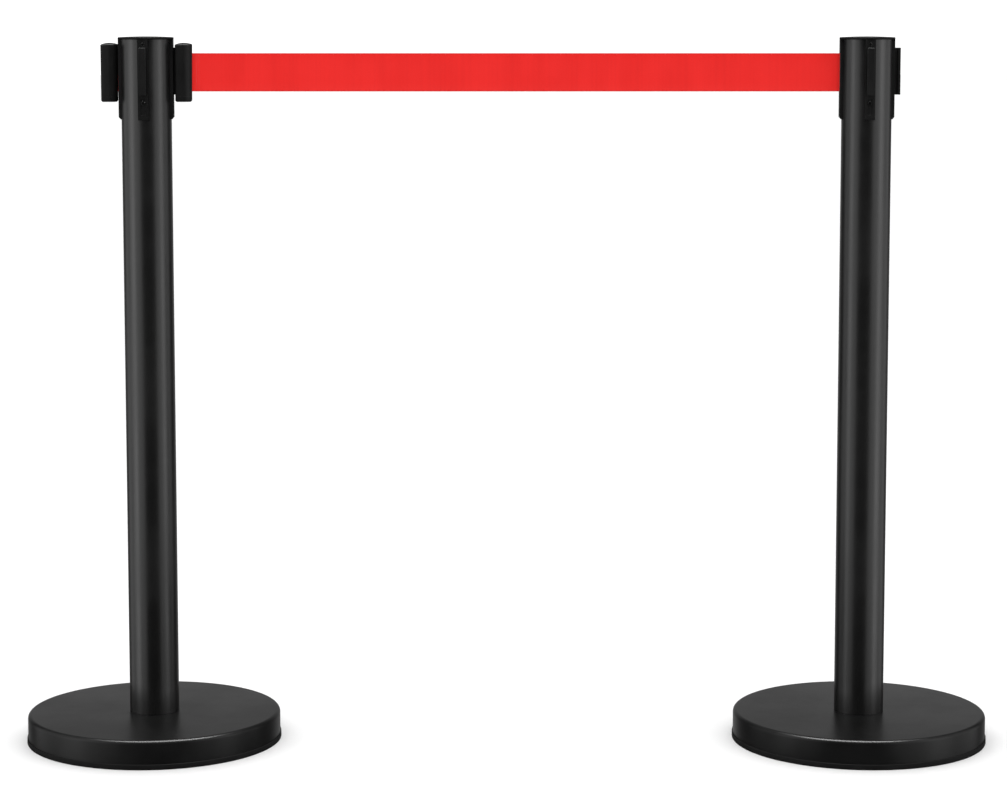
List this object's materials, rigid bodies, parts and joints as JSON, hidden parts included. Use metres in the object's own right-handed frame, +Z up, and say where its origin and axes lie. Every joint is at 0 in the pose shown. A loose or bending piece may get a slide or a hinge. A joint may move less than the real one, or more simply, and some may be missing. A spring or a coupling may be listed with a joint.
{
  "type": "retractable belt stanchion",
  "caption": "Retractable belt barrier: weighted round posts linked by webbing that runs from a spring reel in one post's head to a T-slot clip on the next head.",
  "frame": {"origin": "on the floor, midway between the two posts' axes", "axes": "+Z up, +X from the left post to the right post along the belt, +Y to the back"},
  "size_m": [1.232, 0.325, 0.9],
  "materials": {
    "black_coat": "satin black powder coat on steel, fine texture",
    "black_moulding": "black moulded ABS, fine spark-eroded grain",
    "cap_plastic": "black moulded cap, satin",
    "clip_plastic": "black moulded nylon, matte",
    "red_webbing": "red polyester webbing, plain weave with woven edges",
    "floor_rubber": "black rubber",
    "cast_weight": "rough casting, dark grey",
    "plated_steel": "bright zinc plate",
    "black_screw": "blackened steel",
    "spring_steel": "blued spring strip",
    "reel_plastic": "dark grey acetal"
  },
  "bodies": {
    "right_stanchion": {"right_floor_mat": "floor_rubber", "right_base_weight": "cast_weight", "right_base_cover": "black_coat", "right_base_washer": "plated_steel", "right_base_bolt": "plated_steel", "right_tube_foot": "plated_steel", "right_post_tube": "black_coat", "right_cassette_body": "black_moulding", "right_cassette_lid": "reel_plastic", "right_top_cap": "cap_plastic", "right_guide_pins": "plated_steel", "right_receiver_side": "black_moulding", "right_receiver_rear": "black_moulding", "right_receiver_front": "black_moulding", "right_receiver_screws": "black_screw", "right_reel_spindle": "plated_steel", "right_spindle_nut": "plated_steel", "right_spring_arbor": "reel_plastic", "right_power_spring": "spring_steel", "right_belt_lead": "red_webbing"},
    "left_stanchion": {"left_floor_mat": "floor_rubber", "left_base_weight": "cast_weight", "left_base_cover": "black_coat", "left_base_washer": "plated_steel", "left_base_bolt": "plated_steel", "left_tube_foot": "plated_steel", "left_post_tube": "black_coat", "left_cassette_body": "black_moulding", "left_cassette_lid": "reel_plastic", "left_top_cap": "cap_plastic", "left_guide_pins": "plated_steel", "left_receiver_side": "black_moulding", "left_receiver_rear": "black_moulding", "left_receiver_front": "black_moulding", "left_receiver_screws": "black_screw", "left_reel_spindle": "plated_steel", "left_spindle_nut": "plated_steel", "left_spring_arbor": "reel_plastic", "left_power_spring": "spring_steel", "left_belt_lead": "red_webbing", "right_belt": "red_webbing"},
    "right_reel": {"right_belt_reel": "reel_plastic", "right_wound_belt": "red_webbing", "right_spring_barrel": "reel_plastic", "right_barrel_cover": "reel_plastic"},
    "left_reel": {"left_belt_reel": "reel_plastic", "left_wound_belt": "red_webbing", "left_spring_barrel": "reel_plastic", "left_barrel_cover": "reel_plastic"},
    "right_clip": {"right_clip_body": "clip_plastic", "right_clip_plug": "clip_plastic", "right_belt_pin": "plated_steel", "right_belt_end": "red_webbing"},
    "left_clip": {"left_clip_body": "clip_plastic", "left_clip_plug": "clip_plastic", "left_belt_pin": "plated_steel", "left_belt_end": "red_webbing"}
  },
  "joints": [
    {"name": "post_spacing", "type": "slide", "parent": "right_stanchion", "child": "left_stanchion", "axis": [-1, 0, 0], "range_m": [-0.55, 1.18], "deforming": ["right_belt"]},
    {"name": "right_reel_spin", "type": "hinge", "parent": "right_stanchion", "child": "right_reel", "pos_m": [0.4535, 0, 0.855], "axis": [0, 0, -1], "range_deg": [-2020, 4330]},
    {"name": "right_clip_lift", "type": "slide", "parent": "left_stanchion", "child": "right_clip", "axis": [0, 0, 1], "range_m": [0, 0.065]},
    {"name": "left_belt_pull", "type": "slide", "parent": "left_stanchion", "child": "left_clip", "axis": [-1, 0, 0], "range_m": [0, 1.97], "stiffness_N_per_m": 4, "springref_m": -1.5},
    {"name": "left_reel_spin", "type": "hinge", "parent": "left_stanchion", "child": "left_reel", "pos_m": [-0.4535, 0, 0.855], "axis": [0, 0, -1], "range_deg": [-2, 7230]}
  ],
  "couplings": [
    {"joint": "right_reel_spin", "follows": "post_spacing", "rad_per_m": 64},
    {"joint": "left_reel_spin", "follows": "left_belt_pull", "rad_per_m": 64}
  ]
}
